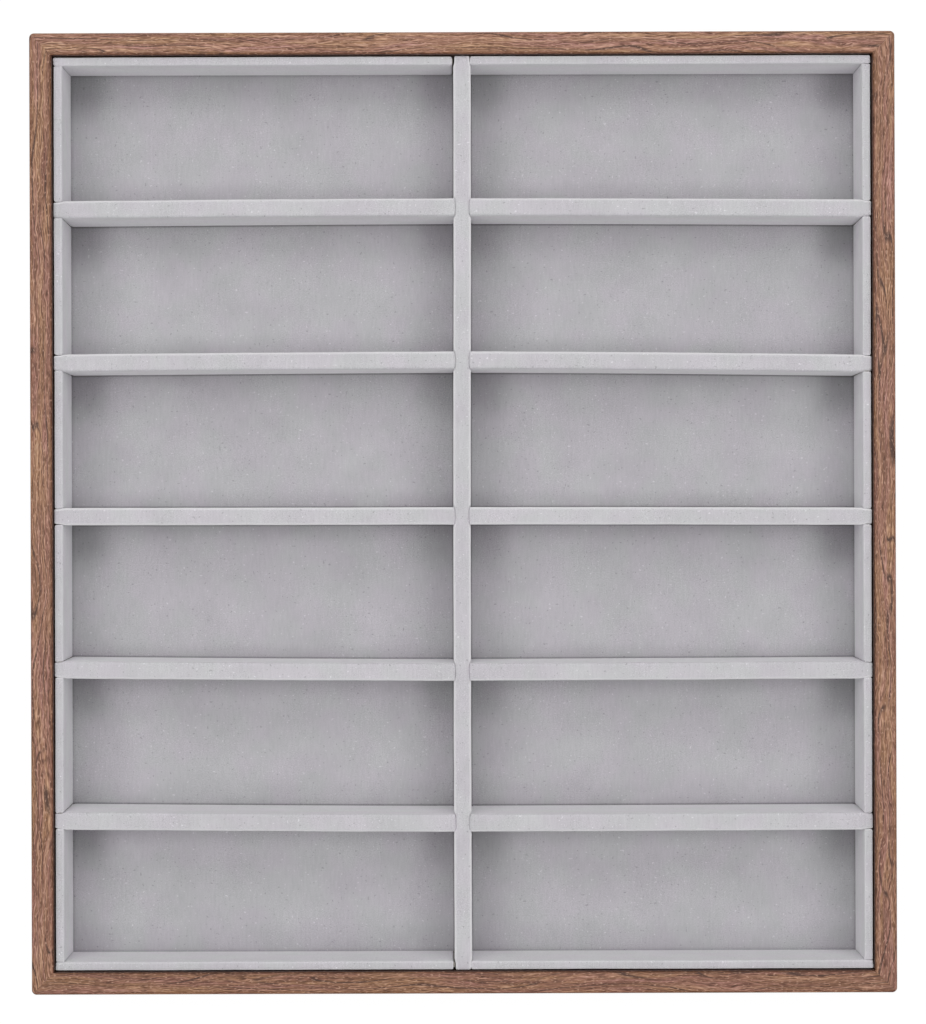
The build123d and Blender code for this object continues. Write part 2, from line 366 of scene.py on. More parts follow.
def brushed_suede():
    """Microfibre suede, sueded and brushed: a dead matt nap, mottled where it is stroked, with a pale
    bloom at grazing angles, a painted highlight along the folds and painted shade by its place."""
    suede = settings().suede
    material, add = new_material("brushed_microfibre_suede")
    place = add("TexCoord", output="Object")

    def marks(width, length, detail=2.0, shift=0.0):
        """Noise whose marks are so many millimetres wide along X and so many long along Y and Z."""
        spot = add("Mapping", {
            "Vector": place, "Location": (shift, shift, shift),
            "Scale": (1 / (width * MM), 1 / (length * MM), 1 / (length * MM))})
        return add("TexNoise", {"Vector": spot, "Scale": 1.0, "Detail": detail})

    # How far the surface turns from level to upright, and the folds, which lie half way
    facing = add("SeparateXYZ", [place.node.outputs["Normal"]], "Z")
    level = add("Math", [facing], operation="ABSOLUTE")
    upright = add("Math", [1.0, level], operation="SUBTRACT")
    fold = add("Math", [upright, level], **TIMES)
    fold = add("Math", [fold, 4.0], **TIMES, use_clamp=True)
    # How much painted highlight each fold gets, from the pieces' attribute
    edge_highlight = add("Attribute", output="Fac", attribute_name="edge_highlight")
    fold = add("Math", [fold, edge_highlight], **TIMES)

    # Clouds a thumb wide and strokes of the brush. Upright faces are painted paler, a painted sheen for
    # the light that they catch at grazing angles.
    tone = add("Math", [upright, 0.46, 0.38], operation="MULTIPLY_ADD")
    for cloud, weight in ((marks(16, 16), 0.27), (marks(0.9, 6, 2.0, 13.0), 0.26)):
        cloud = add("Math", [cloud, weight, -0.5 * weight], operation="MULTIPLY_ADD")
        tone = add("Math", [cloud, tone], operation="ADD")

    # The nap itself, drawn 0.5 mm coarse so that it shows, and raised more in some patches
    nap = marks(0.5, 0.5, 2.0, 5.0)
    raised = add("MapRange", [marks(22, 22, 1.0, 51.0), 0.4, 0.6, 0.3, 0.85])
    above = add("Math", [nap, 0.5], operation="SUBTRACT")
    tone = add("Math", [above, raised, tone], operation="MULTIPLY_ADD")

    # Lint: specks of pale and of dark fluff, a few to the square centimetre
    lint = marks(0.9, 0.9, 0.0, 21.0)
    for low, high, gain in ((0.77, 0.85, 0.4), (0.23, 0.15, -0.5)):
        speck = add("MapRange", [lint, low, high, 0.0, gain])
        tone = add("Math", [tone, speck], operation="ADD")
    colour = add("Mix", {FACTOR: tone, A: rgba(suede.dark), B: rgba(suede.light)}, **COLOURS)

    # Faint patches of a greenish and of a lilac cast, then the painted highlight on the folds and the
    # painted shade of its place
    patches = add("MapRange", [marks(13, 13, 1.0, 37.0), 0.38, 0.62])
    cast = add("Mix", {FACTOR: patches, A: rgba(suede.greenish), B: rgba(suede.lilac)}, **COLOURS)
    colour = add("Mix", {FACTOR: 1.0, A: colour, B: cast}, **TINT)
    colour = add("Mix", {FACTOR: fold, A: colour, B: rgba(suede.highlit)}, **COLOURS)
    shade = add("Attribute", output="Fac", attribute_name="shade")
    colour = add("Mix", {FACTOR: shade, A: colour, B: (0, 0, 0, 1)}, **COLOURS)

    normal = add("Bump", {"Strength": 0.3, "Distance": 0.08 * MM, "Height": nap})
    surface = add("BsdfPrincipled", {
        "Base Color": colour, "Roughness": 0.95, "Specular IOR Level": 0.25, "Sheen Weight": 0.45,
        "Sheen Roughness": 0.45, "Normal": normal})
    add("OutputMaterial", [surface])
    return material


def fibrous_board(name, ground, fibre, length, width, roughness):
    """Pressed fibre board: a plain ground with fibres so many millimetres long and wide."""
    material, add = new_material(name)
    place = add("TexCoord", output="Object")
    spot = add("Mapping", {
        "Vector": place, "Scale": (1 / (length * MM), 1 / (width * MM), 1 / (width * MM))})
    fibres = add("TexNoise", {"Vector": spot, "Scale": 1.0, "Detail": 4.0, "Distortion": 0.6})
    clouds = add("TexNoise", {"Vector": place, "Scale": 1 / (25 * MM), "Detail": 2.0})
    share = add("Math", [fibres, clouds], **TIMES)
    share = add("MapRange", [share, 0.1, 0.45])
    colour = add("Mix", {FACTOR: share, A: rgba(fibre), B: rgba(ground)}, **COLOURS)
    normal = add("Bump", {"Strength": 0.25, "Distance": 0.05 * MM, "Height": fibres})
    surface = add("BsdfPrincipled", {
        "Base Color": colour, "Roughness": roughness, "Normal": normal})
    add("OutputMaterial", [surface])
    return material


def bright_steel():
    """Bright drawn steel wire and strip: a plain metal with fine draw marks."""
    material, add = new_material("bright_drawn_steel")
    place = add("TexCoord", output="Object")
    draws = add("TexNoise", {"Vector": place, "Scale": 1 / (0.4 * MM), "Detail": 3.0})
    rough = add("MapRange", {"Value": draws, "To Min": 0.28, "To Max": 0.5})
    tone = add("MapRange", {"Value": draws, "To Min": 0.85, "To Max": 1.1})
    grey = add("CombineColor", [tone, tone, tone])
    colour = add("Mix", {FACTOR: 1.0, A: grey, B: rgba(settings().bottom.steel)}, **TINT)
    surface = add("BsdfPrincipled", {"Base Color": colour, "Metallic": 1.0, "Roughness": rough})
    add("OutputMaterial", [surface])
    return material


def finish(name):
    """A finish by name, made the first time that it is asked for."""
    bottom = settings().bottom
    makers = {
        "walnut_print_foil": walnut_print_foil,
        "brushed_microfibre_suede": brushed_suede,
        "smooth_hardboard": lambda: fibrous_board(
            name, bottom.hardboard, bottom.hardboard_fibre, 3, 0.8, 0.45),
        "grey_board": lambda: fibrous_board(
            name, bottom.greyboard, bottom.greyboard_fibre, 1.5, 0.6, 0.9),
        "bright_drawn_steel": bright_steel,
    }
    return bpy.data.materials.get(name) or makers[name]()


def piece(name, bm, material, node):
    """Turn a finished bmesh into a piece that rides on the tray in a node's stead."""
    mesh = bpy.data.meshes.new(name)
    bm.to_mesh(mesh)
    bm.free()
    mesh.materials.append(finish(material))
    mesh.shade_smooth()
    mesh.set_sharp_from_angle(angle=math.radians(40))
    made = bpy.data.objects.new(name, mesh)
    bpy.context.scene.collection.objects.link(made)
    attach(made, "root")
    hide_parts(node)
    return made


def block(low, high):
    """A box between two corners."""
    bm = bmesh.new()
    middle = Matrix.Translation((low + high) / 2)
    bmesh.ops.create_cube(bm, size=1, matrix=middle @ Matrix.Diagonal((*(high - low), 1)))
    return bm


def lies_at(part, axis, place):
    """Whether the whole of an edge or a face lies at a place along an axis."""
    return all(abs(vertex.co[axis] - place) < SLACK for vertex in part.verts)


def bisect(bm, place, normal, **more):
    """Cut new edges round a mesh along a plane."""
    parts = bm.verts[:] + bm.edges[:] + bm.faces[:]
    return bmesh.ops.bisect_plane(bm, geom=parts, plane_co=place, plane_no=normal, dist=1e-7, **more)


def slice_across(bm, axis, places):
    """Cut new edges round a mesh at each place along an axis."""
    normal = Vector((0, 0, 0))
    normal[axis] = 1
    for place in places:
        bisect(bm, normal * place, normal)


def cut_off(bm, place, normal):
    """Cut away what lies beyond a plane and close the cut."""
    cut = bisect(bm, place, normal, clear_outer=True)
    rim = [e for e in cut["geom_cut"] if isinstance(e, bmesh.types.BMEdge)]
    bmesh.ops.edgeloop_fill(bm, edges=rim)


def soften(bm, edges, radius, segments):
    bmesh.ops.bevel(
        bm, geom=edges, offset=radius, offset_type="OFFSET", affect="EDGES", segments=segments,
        profile=0.5, material=-1)


def steps(low, high, spacing):
    """Places between two ends, about evenly spaced, without the ends."""
    count = max(1, round((high - low) / spacing))
    return [low + i * (high - low) / count for i in range(1, count)]


def denser_ends(places, low, high, clear, loops):
    """The places of edge loops, with those near both ends put so many millimetres in from them."""
    for end, inwards in ((low, 1), (high, -1)):
        places = [place for place in places if abs(place - end) > clear]
        places += [end + inwards * loop * MM for loop in loops]
    return places


def rising(low, high, value):
    """0 up to low and 1 from high on, with a soft step between."""
    share = min(1.0, max(0.0, (value - low) / (high - low)))
    return share * share * (3 - 2 * share)


def falling(low, high, value):
    return 1 - rising(low, high, value)


def drawn_in(distance, depth, reach):
    """How far a squeezed side is drawn in at a distance from the middle of the squeeze."""
    return depth * max(0.0, 1 - (distance / reach) ** 4) ** 1.5


def squared(co, axis, end):
    """Draw a vertex of a rounded end out towards the end's plane, so that its corners are squarer."""
    reach = 1.6 * MM
    apart = co[axis] - end
    if abs(apart) < reach:
        co[axis] = end + apart * abs(apart) / reach


def wobble(place, size, amount, seed):
    """A small smooth wander, the same on each run."""
    return noise.noise_vector(place / size + Vector((seed, -seed, 2 * seed))) * amount


def stands_off(number, x, rise):
    """How far a cross divider's cover stands behind its straight board, at a place along it and a share
    of its height. Its foot leans towards the tray's middle."""
    left, middle, right = (bow * MM for bow in BOWS[number])
    end = left if x < 0 else right
    bent = middle + (end - middle) * min(1.0, abs(x) / cross_dividers[number][1].x) ** 1.5
    inwards = cross_places[number] / max(cross_places.values())
    return bent - settings().grid.lean * inwards * (1 - rise)


def centre_bend(y):
    """How far right of its board the centre divider's cover stands, at a place along it."""
    return -settings().grid.bend * rising(-140 * MM, 30 * MM, -y)


def reshape(bm, move):
    """Move each vertex to where move puts it."""
    for vertex in bm.verts:
        vertex.co = move(vertex.co.copy())


def build_rail(side, number):
    """One rail: its section drawn out, mitred, rounded at the frame's corners and wrapped in foil."""
    foil = settings().foil
    low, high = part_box(f"{side}_rail")
    along = X if side in ("front", "back") else Y
    across = 1 - along
    radius = foil.corner_radius

    # Half the rail's length, out to the sharp corner that the rounding takes off
    half = max(-low[along], high[along]) + radius * (1 - math.sqrt(0.5))
    reach = max(-low[across], high[across])
    deep = (high - low)[across]

    # The section, with the depth from the outer face as Y, drawn out along X. It ends a hair above the
    # ground, so that the foil stays clear of it.
    ledge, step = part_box("base_panel")[1].z, deep - foil.rebate_width
    foot, top = low.z + 0.05 * MM, high.z
    section = [(0, foot), (step, foot), (step, ledge), (deep, ledge), (deep, top), (0, top)]
    bm = bmesh.new()
    face = bm.faces.new([bm.verts.new((-half, depth, height)) for depth, height in section])
    drawn = bmesh.ops.extrude_face_region(bm, geom=[face])["geom"]
    moved = [v for v in drawn if isinstance(v, bmesh.types.BMVert)]
    bmesh.ops.translate(bm, verts=moved, vec=(2 * half, 0, 0))
    bmesh.ops.recalc_face_normals(bm, faces=bm.faces[:])

    def long_edges(depth, height):
        return [e for e in bm.edges if lies_at(e, Y, depth) and lies_at(e, Z, height)]

    # Flat faces begin a little past each rounding
    soften(bm, long_edges(0, top) + long_edges(deep, top), foil.rim_radius, 6)
    soften(bm, long_edges(0, foot), foil.foot_radius, 4)
    hold = 0.25 * MM
    slice_across(bm, Y, [foil.rim_radius + hold, deep - foil.rim_radius - hold])
    slice_across(bm, Z, [top - foil.rim_radius - hold, foot + foil.foot_radius + hold])
    slice_across(bm, X, steps(-half, half, 20 * MM))

    # Mitres, and the planes that fan out from each rounded corner's axis
    fan = 5
    for end in (-1, 1):
        cut_off(bm, Vector((end * (half - foil.mitre_gap), 0, 0)), Vector((end, 1, 0)).normalized())
        axis = Vector((end * (half - radius), radius, 0))
        for i in range(fan):
            bisect(bm, axis, Vector((end, i / fan, 0)).normalized())

    # The foil's own coordinates: along the rail, and round its girth from the outer face to the inner
    girth = bm.loops.layers.uv.new("girth")
    for face in bm.faces:
        outer = face.calc_center_median().y < deep / 2
        for loop in face.loops:
            co = loop.vert.co
            down = top - co.z
            loop[girth].uv = (co.x + number, co.y - down if outer else co.y + down)

    def rounded(co):
        beyond = abs(co.x) - (half - radius)
        out = radius - co.y
        if beyond > 0 and out > 1e-9:
            angle = min(1.0, beyond / out) * math.pi / 4
            co.x = math.copysign(half - radius + out * math.sin(angle), co.x)
            co.y = radius - out * math.cos(angle)
        return co

    reshape(bm, rounded)
    tone = bm.verts.layers.float.new("tone")
    for vertex in bm.verts:
        vertex[tone] = {"back": foil.back_tone, "front": foil.front_tone}.get(side, 1.0)
    turn = Matrix.Rotation(math.radians(WALLS[side][0]), 4, "Z")
    bmesh.ops.transform(bm, matrix=turn @ Matrix.Translation((0, -reach, 0)), verts=bm.verts[:])
    bmesh.ops.recalc_face_normals(bm, faces=bm.faces[:])
    piece(f"{side}_foil_rail", bm, "walnut_print_foil", f"{side}_rail")


class GLASSESTRAY_OT_rails(bpy.types.Operator):
    """Four mitred rails wrapped in walnut print foil"""

    bl_idname = "glasses_tray.rails"
    bl_label = "Rails"

    def execute(self, context):
        for number, side in enumerate(WALLS, start=1):
            build_rail(side, number)
        return {"FINISHED"}


class GLASSESTRAY_OT_bottom(bpy.types.Operator):
    """Finishes of the bottom, the boards and the steel fastenings"""

    bl_idname = "glasses_tray.bottom"
    bl_label = "Bottom, boards and fastenings"

    def execute(self, context):
        for name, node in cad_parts.items():
            if name in ("base_brads", "corner_v_nails"):
                coat = "bright_drawn_steel"
            elif name == "base_panel":
                coat = "smooth_hardboard"
            elif "board" in name:
                coat = "grey_board"
            else:
                continue
            node.data.materials.clear()
            node.data.materials.append(finish(coat))
            for polygon in node.data.polygons:
                polygon.material_index = 0
        return {"FINISHED"}


def suede_skin(name, bm, node, thickness):
    """A piece of suede from its outer face, which gets its thickness inwards."""
    made = piece(name, bm, "brushed_microfibre_suede", node)
    skin = made.modifiers.new("suede thickness", "SOLIDIFY")
    skin.thickness = thickness
    skin.offset = -1
    return made


def suede_cover(bm, node, bottom):
    """The suede round a board, without the faces that lie flat on the floor."""
    below = [face for face in bm.faces if lies_at(face, Z, bottom)]
    bmesh.ops.delete(bm, geom=below, context="FACES")
    bmesh.ops.recalc_face_normals(bm, faces=bm.faces[:])
    return suede_skin(node.replace("suede", "cover"), bm, node, settings().suede.thickness)


class GLASSESTRAY_OT_floor(bpy.types.Operator):
    """Floor suede, one sheet glued over the floor board"""

    bl_idname = "glasses_tray.floor"
    bl_label = "Floor suede"

    def execute(self, context):
        suede = settings().suede
        low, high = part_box("floor_suede")
        size = high - low
        place = Matrix.Translation(((low.x + high.x) / 2, (low.y + high.y) / 2, high.z))
        bm = bmesh.new()
        bmesh.ops.create_grid(
            bm, x_segments=round(size.x / (4 * MM)), y_segments=round(size.y / (4 * MM)), size=0.5,
            matrix=place @ Matrix.Diagonal((size.x, size.y, 1, 1)))

        # Rows of vertices along the foot of each wall, and the share of the painted crease shade in
        # each row
        centre_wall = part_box("centre_divider_suede")[1].x
        side_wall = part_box("right_lining_suede_1")[0].x
        end_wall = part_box("back_lining_suede_1")[0].y
        half = (cross_dividers[1][1] - cross_dividers[1][0]).y / 2
        rows = {X: {}, Y: {}}
        for out, depth in CREASE:
            out *= MM
            for way in (-1, 1):
                rows[X][way * (centre_wall + out)] = depth
                rows[X][way * (side_wall - out)] = depth * suede.outer_crease
                rows[Y][way * (end_wall - out)] = depth * suede.outer_crease
                for y in cross_places.values():
                    rows[Y][y + way * (half + out)] = depth
        for axis, places in rows.items():
            slice_across(bm, axis, sorted(places))
        backs = [y - half for y in cross_places.values()] + [end_wall]
        fronts = [y + half for y in cross_places.values()] + [-end_wall]

        # How far from a compartment's side each painted shade begins to fade, and how far it reaches
        side_fade, back_fade, front_fade = (10 * MM, 22 * MM), (5 * MM, 18 * MM), (4 * MM, 14 * MM)
        corner_width, corner_depth = (7 * MM, 20 * MM), (8 * MM, 24 * MM)

        def shades(co):
            """How much painted shade darkens the floor at a place, for each cause by itself."""
            creased = max((
                depth for axis, places in rows.items() for row, depth in places.items()
                if abs(co[axis] - row) < 1e-5), default=0.0)
            behind = min((y - co.y for y in backs if y > co.y), default=0.0)
            ahead = min((co.y - y for y in fronts if y < co.y), default=0.0)
            outer, inner = side_wall - abs(co.x), abs(co.x) - centre_wall
            corner = max(falling(*corner_width, outer), 0.65 * falling(*corner_width, inner))
            return (
                suede.floor_shade,
                suede.crease_shade * creased,
                suede.corner_shade * corner * falling(*corner_depth, behind),
                suede.side_shade * falling(*side_fade, min(outer, inner)),
                suede.back_shade * falling(*back_fade, behind) * co.y / end_wall,
                suede.front_shade * falling(*front_fade, ahead) * rising(0.1, 0.6, -co.y / end_wall),
            )

        # Painted shade: each vertex gets the darkening of all the causes together
        shade = bm.verts.layers.float.new("shade")
        for vertex in bm.verts:
            vertex[shade] = 1 - math.prod(1 - cause for cause in shades(vertex.co))

        def settled(co):
            """The creases follow the covers' feet, and the sheet sinks a little here and there."""
            number = min(cross_places, key=lambda n: abs(cross_places[n] - co.y))
            apart = abs(cross_places[number] - co.y)
            co.y += falling(half + 1.2 * MM, half + 5 * MM, apart) * stands_off(number, co.x, 0.0)
            co.x += falling(centre_wall + 1.2 * MM, centre_wall + 5 * MM, abs(co.x)) * centre_bend(co.y)
            co.z += min(0.0, wobble(co, 18 * MM, 0.12 * MM, 3.0).z)
            return co

        reshape(bm, settled)

        # Thinner than its solid, so that it stays clear of the board where it sinks
        made = suede_skin("floor_suede_sheet", bm, "floor_suede", 0.7 * size.z)
        return {"FINISHED"}


def cut_notch(bm, along, low, high, lap, from_above):
    """Cut a notch into a box from above or below, as deep as the lap, and close its three sides."""
    slice_across(bm, along, [low, high])
    slice_across(bm, Z, [lap])

    def inside(co):
        taken = co.z > lap - SLACK if from_above else co.z < lap + SLACK
        return taken and low - SLACK < co[along] < high + SLACK

    gone = [f for f in bm.faces if inside(f.calc_center_median())]
    bmesh.ops.delete(bm, geom=gone, context="FACES")
    for axis, place in ((along, low), (along, high), (Z, lap)):
        rim = [v for v in bm.verts if abs(v.co[axis] - place) < SLACK and inside(v.co)]
        bmesh.ops.contextual_create(bm, geom=rim)


def build_divider(node, crossings, number=0):
    """A divider's padded cover: notched where it crosses, rounded, squeezed at crossings and tips. A
    cross divider has a number and is notched from above, and the centre one has none."""
    grid, suede = settings().grid, settings().suede
    along, across = (X, Y) if number else (Y, X)
    seed = 10.0 + 3 * number if number else 2.0
    low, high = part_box(node)
    middle = (low + high) / 2
    half = (high - low)[across] / 2
    side = half + grid.seam_gap
    lap = middle.z
    bm = block(low, high)
    for crossing in crossings:
        cut_notch(bm, along, crossing - side, crossing + side, lap, bool(number))
    bmesh.ops.recalc_face_normals(bm, faces=bm.faces[:])

    # The top's edges and the tips' are rounded, and so are the folds on the floor along the sides
    def sharp(edge):
        return edge.calc_face_angle(0.0) > 1.0

    def at_tip(edge):
        return lies_at(edge, along, low[along]) or lies_at(edge, along, high[along])

    rounded = [
        e for e in bm.edges
        if sharp(e) and (lies_at(e, Z, high.z) or at_tip(e) and not lies_at(e, Z, low.z))
    ]
    soften(bm, rounded, suede.divider_edge, 5)
    fold = [
        e for e in bm.edges if sharp(e) and lies_at(e, Z, low.z)
        and any(abs(v.co[across] - middle[across]) > half - SLACK for v in e.verts)
        and abs(e.verts[0].co[along] - e.verts[1].co[along]) > SLACK
    ]
    soften(bm, fold, suede.fold_radius, 3)

    # Edge loops for the shapes below
    clear = 6.5 * MM
    places = steps(low[along], high[along], 5 * MM)
    for crossing in crossings:
        places = [place for place in places if abs(place - crossing) > side + clear]
        places += [crossing + sign * (side + d * MM) for d in SEAM_LOOPS for sign in (-1, 1)]
        if not number:
            places += [crossing + d * half for d in (-0.75, -0.5, -0.25, 0, 0.25, 0.5, 0.75)]
    places = denser_ends(places, low[along], high[along], clear, TIP_LOOPS)
    slice_across(bm, along, sorted(places))
    slice_across(bm, across, [middle[across] + d * MM for d in WIDTH_LOOPS])
    hold = 0.3 * MM
    heights = [high.z - suede.divider_edge - hold, lap - 1 * MM, lap, lap + 1 * MM]
    heights += [low.z + suede.fold_radius + hold]
    heights += steps(low.z, lap, 6 * MM) + steps(lap, high.z, 6 * MM)
    slice_across(bm, Z, heights)

    # Painted highlight along the top edges that face away from the tray's middle, except at the
    # crossings
    edge_highlight = bm.verts.layers.float.new("edge_highlight")
    for vertex in bm.verts:
        offset = vertex.co[across] - middle[across]
        outwards = offset * middle[across] > -2 * MM * abs(offset)
        if outwards and abs(offset) > half - suede.divider_edge - SLACK and vertex.co.z > lap:
            apart = min(abs(vertex.co[along] - crossing) for crossing in crossings)
            vertex[edge_highlight] = rising(half - 0.5 * MM, half + 1.5 * MM, apart)

    def lip(co, beyond):
        """How far the edge beside a notch is sunk and frayed, by its distance from the seam."""
        share = 1 - max(0.0, beyond) / grid.seam_edge
        sunk = grid.seam_edge * (1 - math.sqrt(max(0.0, 1 - share * share)))
        sunk *= 0.6 + 1.2 * noise.noise(co / (1.7 * MM))
        return sunk * rising(high.z - 3 * MM, high.z, co.z)

    # A notch's sides bulge into the waist of the other cover, and the bulge dies away over this length
    bulging = 6 * MM

    def squeezed(co):
        squared(co, along, low[along])
        squared(co, along, high[along])
        above = rising(lap - 0.6 * MM, lap + 0.6 * MM, co.z)
        notched = above if number else 1 - above
        offset = co[across] - middle[across]
        narrow = 0.0
        for crossing in crossings:
            apart = co[along] - crossing
            narrow += drawn_in(apart, grid.crossing_squeeze, grid.crossing_reach) * (1 - notched)
            beyond = abs(apart) - side
            if -1e-5 < beyond < bulging:
                bulge = drawn_in(offset, grid.crossing_squeeze, grid.crossing_reach) * notched
                co[along] -= math.copysign(bulge * (1 - beyond / bulging), apart)
                if number and beyond < grid.seam_edge:
                    co.z -= lip(co, beyond)
        tip = min(co[along] - low[along], high[along] - co[along])
        narrow += grid.tip_squeeze * falling(0.55 * grid.tip_reach, grid.tip_reach, tip)
        co[across] = middle[across] + offset * (1 - narrow / half)
        stir = wobble(co, 11 * MM, grid.wobble, seed) + wobble(co, 37 * MM, 1.6 * grid.wobble, seed + 5)
        calm = rising(low.z, low.z + 6 * MM, co.z)
        calm *= 1 - max(falling(half, half + 5 * MM, abs(co[along] - place)) for place in crossings)
        co[across] += stir[across] * calm
        if number:
            co[across] += stands_off(number, co[along], (co.z - low.z) / (high.z - low.z))
        else:
            co[across] += centre_bend(co[along])
        co.z += 0.6 * stir.z * calm
        return co

    reshape(bm, squeezed)
    made = suede_cover(bm, node, low.z)


class GLASSESTRAY_OT_centre_divider(bpy.types.Operator):
    """Padded suede cover of the centre divider, notched from below over the cross dividers"""

    bl_idname = "glasses_tray.centre_divider"
    bl_label = "Centre divider"

    def execute(self, context):
        crossings = [place + stands_off(number, 0.0, 0.5) for number, place in cross_places.items()]
        build_divider("centre_divider_suede", crossings)
        return {"FINISHED"}


class GLASSESTRAY_OT_cross_dividers(bpy.types.Operator):
    """Padded suede covers of the cross dividers, notched from above for the centre divider"""

    bl_idname = "glasses_tray.cross_dividers"
    bl_label = "Cross dividers"

    def execute(self, context):
        low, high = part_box("centre_divider_suede")
        for number, place in cross_places.items():
            crossing = (low.x + high.x) / 2 + centre_bend(place)
            build_divider(f"cross_divider_suede_{number}", [crossing], number)
        return {"FINISHED"}


def build_strip(node, seed):
    """A lining strip's suede cover, rounded at both its ends. In the tray's corners the side strips
    butt against the back and front ones, and elsewhere a strip ends at a divider."""
    grid, suede = settings().grid, settings().suede
    side, number = node.split("_")[0], int(node.rsplit("_", 1)[1])
    low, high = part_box(node)
    middle = (low + high) / 2
    along, across = (Y, X) if side in ("left", "right") else (X, Y)
    way = WALLS[side][1][across]
    wall = low[across] if way > 0 else high[across]
    thick, tall, length = (high - low)[across], (high - low).z, (high - low)[along]
    ends = {-1: low[along], 1: high[along]}
    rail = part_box("back_rail")[0].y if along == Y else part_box("right_rail")[0].x
    in_corner = {end: end * place > rail - 2 * thick for end, place in ends.items()}
    butted = [place for end, place in ends.items() if in_corner[end] and along == Y]
    bm = block(low, high)

    # All edges are rounded but those that butt, and below only the fold along the strip's free side
    free = [e for e in bm.edges if not any(lies_at(e, along, place) for place in butted)]
    upright = [e for e in free if abs(e.verts[0].co.z - e.verts[1].co.z) > 1 * MM]
    upper = [e for e in free if lies_at(e, Z, high.z)]
    soften(bm, upright + upper, suede.strip_edge, 4)
    fold = [
        e for e in bm.edges if lies_at(e, Z, low.z)
        and abs(e.verts[0].co[along] - e.verts[1].co[along]) > 1 * MM
        and abs(e.verts[0].co[across] - wall) > 1 * MM
    ]
    soften(bm, fold, suede.fold_radius, 3)
    places = steps(low[along], high[along], 5 * MM)
    places = denser_ends(places, low[along], high[along], 5 * MM, STRIP_LOOPS)
    places += [place - math.copysign(0.5 * MM, place) for place in butted]
    slice_across(bm, along, sorted(places))
    slice_across(bm, across, [low[across] + share * thick for share in (0.3, 0.5, 0.7)])
    hold = 0.25 * MM
    heights = [high.z - suede.strip_edge - hold, low.z + suede.fold_radius + hold]
    slice_across(bm, Z, heights + steps(low.z, high.z, 7 * MM))

    # Each end stands back a little near the rail, where its wrapped corner is folded
    chance = Random(seed)
    wedges = {end: chance.uniform(0.0, 0.4) * MM for end in ends}
    lean = chance.uniform(-0.08, 0.08) * MM
    # The top gets a painted highlight, full on the half beside the rail and less on the inner fold
    edge_highlight = bm.verts.layers.float.new("edge_highlight")
    shade = bm.verts.layers.float.new("shade")
    edge_foot = high.z - suede.strip_edge - SLACK
    for vertex in bm.verts:
        if vertex.co.z > edge_foot:
            vertex[edge_highlight] = 1.0 if abs(vertex.co[across] - wall) < thick / 2 else 0.3
        # Painted shade down a side strip's face where it butts in a corner
        elif any(abs(vertex.co[along] - place) < SLACK for place in butted):
            vertex[shade] = suede.butt_shade

    def follows(end, rise):
        """How far an end shifts with what it meets. Left of the centre divider a strip is cut short."""
        if in_corner[end]:
            return end * grid.strip_lean * (1 - rise) if along == Y else 0.0
        if along == X:
            return centre_bend(middle.y) - (grid.slit if end > 0 else 0.0)
        return stands_off(number if end < 0 else number - 1, middle[across], rise)

    def settled(co):
        depth = abs(co[across] - wall)
        rise = (co.z - low.z) / tall
        share = (co[along] - low[along]) / length
        for end, place in ends.items():
            if depth < thick / 2 and place not in butted:
                squared(co, along, place)
            near = falling(0.0, 5 * MM, abs(co[along] - place))
            co[along] -= end * near * wedges[end] * (1 - depth / thick) ** 1.5
        co[along] += (1 - share) * follows(-1, rise) + share * follows(1, rise)

        # Beside the rail the edge is fuller and bulges
        if depth < suede.strip_edge and co.z > edge_foot:
            co.z = max(co.z, high.z - 0.35 * (high.z - co.z))
        bulge = grid.strip_bulge * rising(high.z - 5 * MM, high.z - 1 * MM, co.z)
        co[across] -= way * bulge * max(0.0, 1 - 2 * depth / thick)
        stir = wobble(co, 15 * MM, 0.05 * MM, seed) + wobble(co, 45 * MM, 0.1 * MM, seed + 7)
        up = rising(low.z, high.z, co.z)
        co[across] += (stir[across] + way * lean) * up - way * grid.strip_lean * (1 - rise)
        co.z += 0.5 * stir.z * up
        return co

    reshape(bm, settled)
    made = suede_cover(bm, node, low.z)


class GLASSESTRAY_OT_lining(bpy.types.Operator):
    """Suede covers of the lining strips along the four walls"""

    bl_idname = "glasses_tray.lining"
    bl_label = "Lining strips"

    def execute(self, context):
        strips = sorted(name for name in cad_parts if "_lining_suede_" in name)
        for seed, node in enumerate(strips, start=1):
            build_strip(node, seed)
        return {"FINISHED"}


